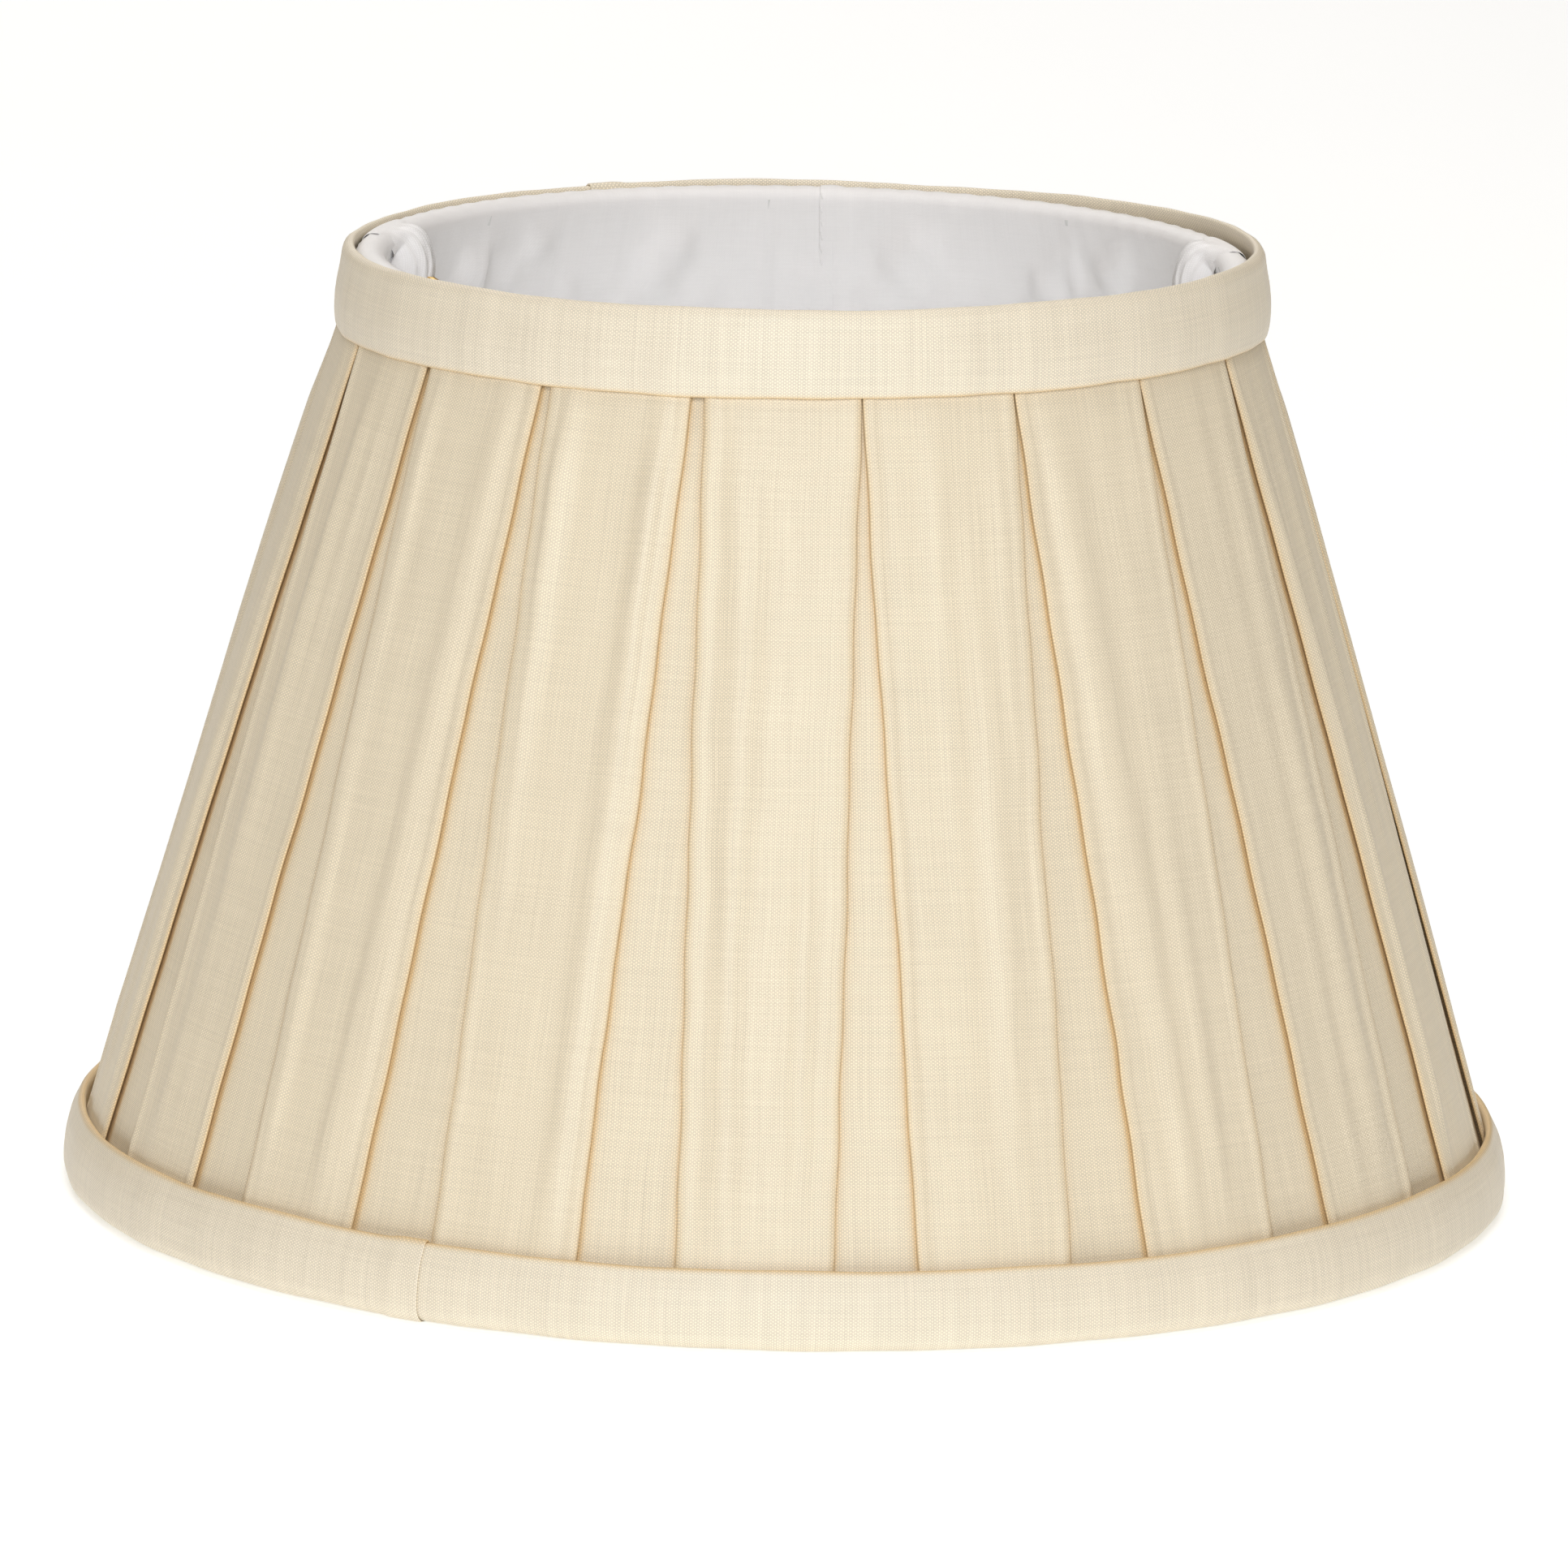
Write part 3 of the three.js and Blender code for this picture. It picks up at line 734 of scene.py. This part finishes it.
def lining_panel(name, node, start):
    """Half the lining, from one seam to the other. Its first edge lies under, its last on top."""
    line = resample(lining_outline(), 2.0)
    right = sides(line)
    s = lengths(line)
    lap = np.degrees(LINING_LAP / TOP_RING[0])
    over_seam = 180 + lap * np.array([0.3, 0.6, 0.85, 0.97])
    azimuth = start + np.concatenate([np.linspace(0, 180, 220), over_seam])
    from_edge = azimuth - azimuth[-1]
    lift = 0.28 / (1 + np.exp(-(from_edge + lap * 1.6) / (lap * 0.18)))
    azimuth = np.concatenate([azimuth, azimuth[-1] + lap * np.array([0.03, 0.0, -0.5])])
    lift = np.concatenate([lift, [0.22, 0.12, 0.1]])
    a = azimuth[None, :]
    z = line[:, 1:]
    on_wall = wall_weight(line)[:, None]
    pinch = 0.10 * np.sin(np.radians(a) * 97 + 0.6 * s[:, None])
    relief = raised(lining_drag(a, z)) + strut_ridge(a, line[:, :1])
    out = lift[None, :] + relief * on_wall + pinch * (1 - on_wall)
    radius = line[:, :1] + right[:, :1] * out
    points = cylinder_point(a + 0 * radius, radius, z + right[:, 1:] * out)
    threads = np.stack(np.broadcast_arrays(np.radians(a) * BOTTOM_RING[0], s[:, None]), axis=-1)
    piece = grid_piece(name, points, threads, LINING_CLOTH)
    finish_piece(piece, "lining_fabric", node)
    return piece


def seam_stitches(name, azimuth):
    """A row of slip stitches along one lining seam, as short raised threads."""
    line = resample(lining_outline(), STITCH_PITCH)[3:-3]
    on_lap = azimuth + 0.85 * np.degrees(LINING_LAP / TOP_RING[0])
    verts, faces = [], []
    for (r, z), side in zip(line, sides(line)):
        if r <= cover_radius(z) - LINING_STAND:
            add_stitch(verts, faces, on_lap, r, z, side[0])
    mesh = bpy.data.meshes.new(name)
    mesh.from_pydata(verts, [], faces)
    mesh.polygons.foreach_set("use_smooth", [True] * len(mesh.polygons))
    return finish_piece(add_object(name, mesh, THREAD), "lining_fabric")


def add_stitch(verts, faces, azimuth, r, z, inward):
    """One thread, slanted a little, that rises from the cloth and thins at both ends."""
    sections, corners = 7, 6
    slant = Vector((0.25, 1.0)).normalized().x
    base = len(verts)
    for i in range(sections):
        t = i / (sections - 1) - 0.5
        lift = 0.45 + 0.22 * math.cos(math.pi * t)
        thick = 0.16 * math.sqrt(max(1 - (2 * t) ** 4, 0.02))
        for corner in range(corners):
            a = 2 * math.pi * corner / corners
            out = lift + thick * math.cos(a)
            shift = math.degrees((slant * STITCH_LENGTH * t + thick * math.sin(a)) / r)
            point = cylinder_point(azimuth + shift, r + inward * out, z + STITCH_LENGTH * t)
            verts.append((point * MM).tolist())
    for i in range(sections - 1):
        for corner in range(corners):
            following = (corner + 1) % corners
            a, b = base + i * corners + corner, base + i * corners + following
            faces.append((a, a + corners, b + corners, b))
    faces.append(tuple(base + corner for corner in range(corners)))
    faces.append(tuple(base + sections * corners - 1 - corner for corner in range(corners)))


# ---- Neateners ---------------------------------------------------------------------
def neatener(side, azimuth):
    """A puffy strip over the lining's roll, which makes a folded hood over the root of the arm."""
    top_r, top_z = TOP_RING
    reach = ROLL_RADIUS + NEATENER_STAND
    outline = np.concatenate([
        [[top_r + reach - 0.4, top_z - 4.0]],
        arc((top_r, top_z), reach, 0, 80, 7),
        arc((top_r - 4.4, top_z - 5.4), (5.2, 7.6), 85, 215, 16),
        [[top_r - 7.6, top_z - 11.0]],
    ])
    line = rounded(resample(outline, 0.5), 4)
    right = sides(line)
    s = lengths(line)
    t = (s / s[-1])[:, None]
    across = np.linspace(0, 1, 73)
    loop = 2 * math.pi * across[None, :]
    hooded = np.clip((t - 0.30) / 0.25, 0, 1)
    hooded = hooded * hooded * (3 - 2 * hooded)
    half = NEATENER_WIDTH / 2 * (1 - 0.45 * hooded)
    x = -np.cos(loop)
    upper = np.clip(np.sin(loop), 0, None) ** 0.55
    fold_at = NEATENER_RIDGES * np.abs(x) + 0.9 * t
    ridges = NEATENER_RIDGE_HEIGHT * np.abs(np.sin(math.pi * fold_at)) ** 1.5 * hooded
    lift = upper * (0.25 + 0.5 * hooded + ridges)
    lift = lift - NEATENER_HOOD * hooded * np.abs(x) ** 2.5
    radius = line[:, :1] + right[:, :1] * lift
    z = line[:, 1:] + right[:, 1:] * lift
    sway = 0.5 * np.sin(2.3 * t + azimuth)
    a = azimuth + np.degrees((x * half + sway) / top_r)
    points = cylinder_point(a, radius, z)[:, :-1]
    threads = np.stack(np.broadcast_arrays(across[None, :] * 2 * NEATENER_WIDTH, s[:, None]), axis=-1)
    piece = grid_piece(f"neatener_cloth_{side}", points, threads, LINING_CLOTH, around=True)
    close_ends(piece)
    finish_piece(piece, "lining_fabric", f"neatener_{side}")
    return piece


def close_ends(piece):
    """Fills the open ends of a tube, so that it is one closed surface."""
    mesh = bmesh.new()
    mesh.from_mesh(piece.data)
    edges = [e for e in mesh.edges if e.is_boundary]
    bmesh.ops.holes_fill(mesh, edges=edges, sides=0)
    for face in mesh.faces:
        face.smooth = True
    mesh.to_mesh(piece.data)
    mesh.free()


# ---- Fitter and bindings -----------------------------------------------------------
def tube(path, radius, around=16):
    """Points of a round tube along a path of 3-D points, one ring a row."""
    path = np.asarray(path, float)
    along = np.gradient(path, axis=0)
    along /= np.linalg.norm(along, axis=1)[:, None]
    first = np.cross(along, [0.0, 0.0, 1.0])
    first /= np.linalg.norm(first, axis=1)[:, None]
    second = np.cross(first, along)
    a = np.linspace(0, 2 * math.pi, around, endpoint=False)
    r = np.broadcast_to(radius, (len(path),))[:, None, None]
    ring = first[:, None, :] * np.cos(a)[None, :, None] + second[:, None, :] * np.sin(a)[None, :, None]
    return path[:, None, :] + r * ring


def tube_piece(name, path, radius, finish):
    points = tube(path, radius)
    s = lengths(np.asarray(path, float))
    a = np.linspace(0, 2 * math.pi, points.shape[1] + 1)
    threads = np.stack(np.broadcast_arrays(a[None, :], s[:, None]), axis=-1)
    piece = grid_piece(name, points, threads, finish, around=True)
    close_ends(piece)
    return piece


def arm_point(azimuth, distance):
    slope = math.radians(ARM_SLOPE)
    r = TOP_RING[0] - distance * math.cos(slope)
    return cylinder_point(azimuth, r, TOP_RING[1] - distance * math.sin(slope))


def fitter_arm(side, azimuth):
    """A wire from the ring, inward and down, level into a welded spot on the washer."""
    middle_z = (WASHER_LOW + WASHER_HIGH) / 2
    start = WIRE_RADIUS + ARM_GAP
    handles = [
        arm_point(azimuth, start),
        arm_point(azimuth, start + ARM_START_REACH),
        cylinder_point(azimuth, WASHER_RADIUS + ARM_GAP + ARM_END_REACH, middle_z),
        cylinder_point(azimuth, WASHER_RADIUS + ARM_GAP - 0.2, middle_z),
    ]
    t = np.linspace(0, 1, 60)[:, None]
    weights = [(1 - t) ** 3, 3 * t * (1 - t) ** 2, 3 * t * t * (1 - t), t ** 3]
    path = sum(w * h for w, h in zip(weights, handles))
    s = lengths(path)
    weld = WELD_SWELL * hump(s, s[-1], 1.5)
    piece = tube_piece(f"fitter_arm_wire_{side}", path, ARM_RADIUS + weld, BRASS)
    return finish_piece(piece, "fitter_metal", f"fitter_arm_{side}")


def washer():
    """A stamped washer: rounded over at its outer edge and round its hole."""
    middle = (WASHER_LOW + WASHER_HIGH) / 2
    half = (WASHER_HIGH - WASHER_LOW) / 2
    edge = WASHER_EDGE
    outline = np.concatenate([
        arc((WASHER_RADIUS - edge, middle + half - edge), edge, 90, 0, 5),
        arc((WASHER_RADIUS - edge, middle - half + edge), edge, 0, -90, 5),
        [[WASHER_RADIUS - 3, middle - half], [WASHER_HOLE_RADIUS + 3, middle - half]],
        arc((WASHER_HOLE_RADIUS + edge, middle - half + edge), edge, 270, 180, 5),
        arc((WASHER_HOLE_RADIUS + edge, middle + half - edge), edge, 180, 90, 5),
        [[WASHER_HOLE_RADIUS + 3, middle + half], [WASHER_RADIUS - 3, middle + half]],
    ])[::-1]
    azimuth = np.linspace(0, 360, 96, endpoint=False)
    closed = np.concatenate([outline, outline[:1]])
    points = cylinder_point(azimuth[None, :] + 0 * closed[:, :1], closed[:, :1], closed[:, 1:])
    s = lengths(closed)
    u = np.radians(np.append(azimuth, 360)) * WASHER_RADIUS
    threads = np.stack(np.broadcast_arrays(u[None, :], s[:, None]), axis=-1)
    piece = grid_piece("washer_plate", points, threads, BRASS, around=True)
    weld_doubles(piece)
    return finish_piece(piece, "fitter_metal", "fitter_washer")


def weld_doubles(piece):
    mesh = bmesh.new()
    mesh.from_mesh(piece.data)
    bmesh.ops.remove_doubles(mesh, verts=mesh.verts, dist=1e-6)
    bmesh.ops.recalc_face_normals(mesh, faces=mesh.faces)
    mesh.to_mesh(piece.data)
    mesh.free()


def ring_binding(name, node, ring):
    """Cotton tape wound round a ring, each turn lapping the one before."""
    radius, z = ring
    turns = int(2 * math.pi * radius / TAPE_PITCH)
    t = np.linspace(0, 1, turns * TAPE_STEPS_PER_TURN)
    wind = 2 * math.pi * turns * t
    rows = np.array([0.0, 0.5, 1.0])
    tape_radius = WIRE_RADIUS + 0.12 + 0.22 * rows[:, None]
    azimuth = 360 * t[None, :] + np.degrees(TAPE_WIDTH * 0.92 * (rows[:, None] - 0.5) / radius)
    r = radius + tape_radius * np.cos(wind)[None, :]
    height = z + tape_radius * np.sin(wind)[None, :]
    points = cylinder_point(azimuth, r, height)
    length = float(lengths(points[1])[-1])
    threads = np.stack(np.broadcast_arrays(length * t[None, :], TAPE_WIDTH * rows[:, None]), axis=-1)
    piece = grid_piece(name, points, threads, TAPE_CLOTH)
    finish_piece(piece, "binding_tape", node)
    return piece


# ---- Stage -------------------------------------------------------------------------
def floor():
    """A pale round floor that reaches well past the view."""
    radii = np.array([0.0, 400, 1500, 4000, 9000])
    azimuth = np.linspace(0, 360, 64, endpoint=False)
    level = 0 * radii[:, None]
    points = cylinder_point(azimuth[None, :] + level, radii[:, None] + 0.001, level - FLOOR_DROP)
    threads = np.zeros((len(radii), len(azimuth) + 1, 2))
    piece = grid_piece("floor", points[::-1], threads, floor_material(), around=True)


def camera():
    """At the photograph's height and distance, with a long lens."""
    aim = Vector(CAMERA_AIM) * MM
    elevation = math.radians(CAMERA_ELEVATION)
    data = bpy.data.cameras.new("camera")
    data.sensor_width = 36
    data.lens = CAMERA_LENS
    data.clip_end = 60
    rig = bpy.data.objects.new("camera", data)
    rig.location = aim + CAMERA_DISTANCE * Vector((0, -math.cos(elevation), math.sin(elevation)))
    turn = (aim - rig.location).to_track_quat("-Z", "Y").to_matrix()
    rig.rotation_euler = (turn @ Matrix.Rotation(math.radians(CAMERA_ROLL), 3, "Z")).to_euler()
    bpy.context.scene.collection.objects.link(rig)
    bpy.context.scene.camera = rig


def soft_light(name, place, aim, size, power, colour=(1, 1, 1)):
    data = bpy.data.lights.new(name, "AREA")
    data.shape = "RECTANGLE"
    data.size, data.size_y = size
    data.energy = power
    data.color = colour
    lamp = bpy.data.objects.new(name, data)
    lamp.location = place
    lamp.rotation_euler = (Vector(aim) - Vector(place)).to_track_quat("-Z", "Y").to_euler()
    bpy.context.scene.collection.objects.link(lamp)


def world(strength, colour):
    """A surround that the camera sees as white and that fills the shadows with this light."""
    surround = bpy.data.worlds.new("surround")
    surround.use_nodes = True
    nodes, links = surround.node_tree.nodes, surround.node_tree.links
    fill = nodes["Background"]
    fill.inputs["Color"].default_value = (*colour, 1)
    fill.inputs["Strength"].default_value = strength
    seen = nodes.new("ShaderNodeBackground")
    seen.inputs["Color"].default_value = (1, 1, 1, 1)
    seen.inputs["Strength"].default_value = 1.0
    choose = nodes.new("ShaderNodeMixShader")
    path = nodes.new("ShaderNodeLightPath")
    links.new(path.outputs["Is Camera Ray"], choose.inputs[0])
    links.new(fill.outputs[0], choose.inputs[1])
    links.new(seen.outputs[0], choose.inputs[2])
    links.new(choose.outputs[0], nodes["World Output"].inputs["Surface"])
    bpy.context.scene.world = surround


def stage():
    floor()
    camera()
    centre = (0, 0, 0.1)
    soft_light("front_softbox", (0.0, -2.6, 1.15), centre, (1.3, 1.3), 42, (0.98, 1.0, 1.05))
    soft_light("top_softbox", (0.0, 0.3, 2.6), centre, (2.4, 2.4), 42, (0.98, 0.98, 0.98))
    soft_light("back_softbox", (-0.4, 2.6, 1.2), centre, (1.6, 1.4), 10)
    world(0.12, (1.0, 0.72, 0.4))
    view = bpy.context.scene.view_settings
    view.view_transform = "Standard"
    view.look = "None"


# ---- Build -------------------------------------------------------------------------
stage()
pleated_cover()
top_band()
bottom_band()
lining_panel("lining_cloth_right", "lining_panel_right", LINING_SEAM - 180)
lining_panel("lining_cloth_left", "lining_panel_left", LINING_SEAM)
seam_stitches("back_seam_stitches", LINING_SEAM)
seam_stitches("front_seam_stitches", LINING_SEAM - 180)
washer()
for side, azimuth in NEATENER_AZIMUTHS.items():
    neatener(side, azimuth)
    fitter_arm(side, azimuth)
ring_binding("top_ring_binding", "top_ring_tape", TOP_RING)
ring_binding("bottom_ring_binding", "bottom_ring_tape", BOTTOM_RING)
for node, piece in frame["nodes"].items():
    if "ring" in node or "strut" in node:
        piece.data.materials.clear()
        piece.data.materials.append(PAINTED_WIRE)
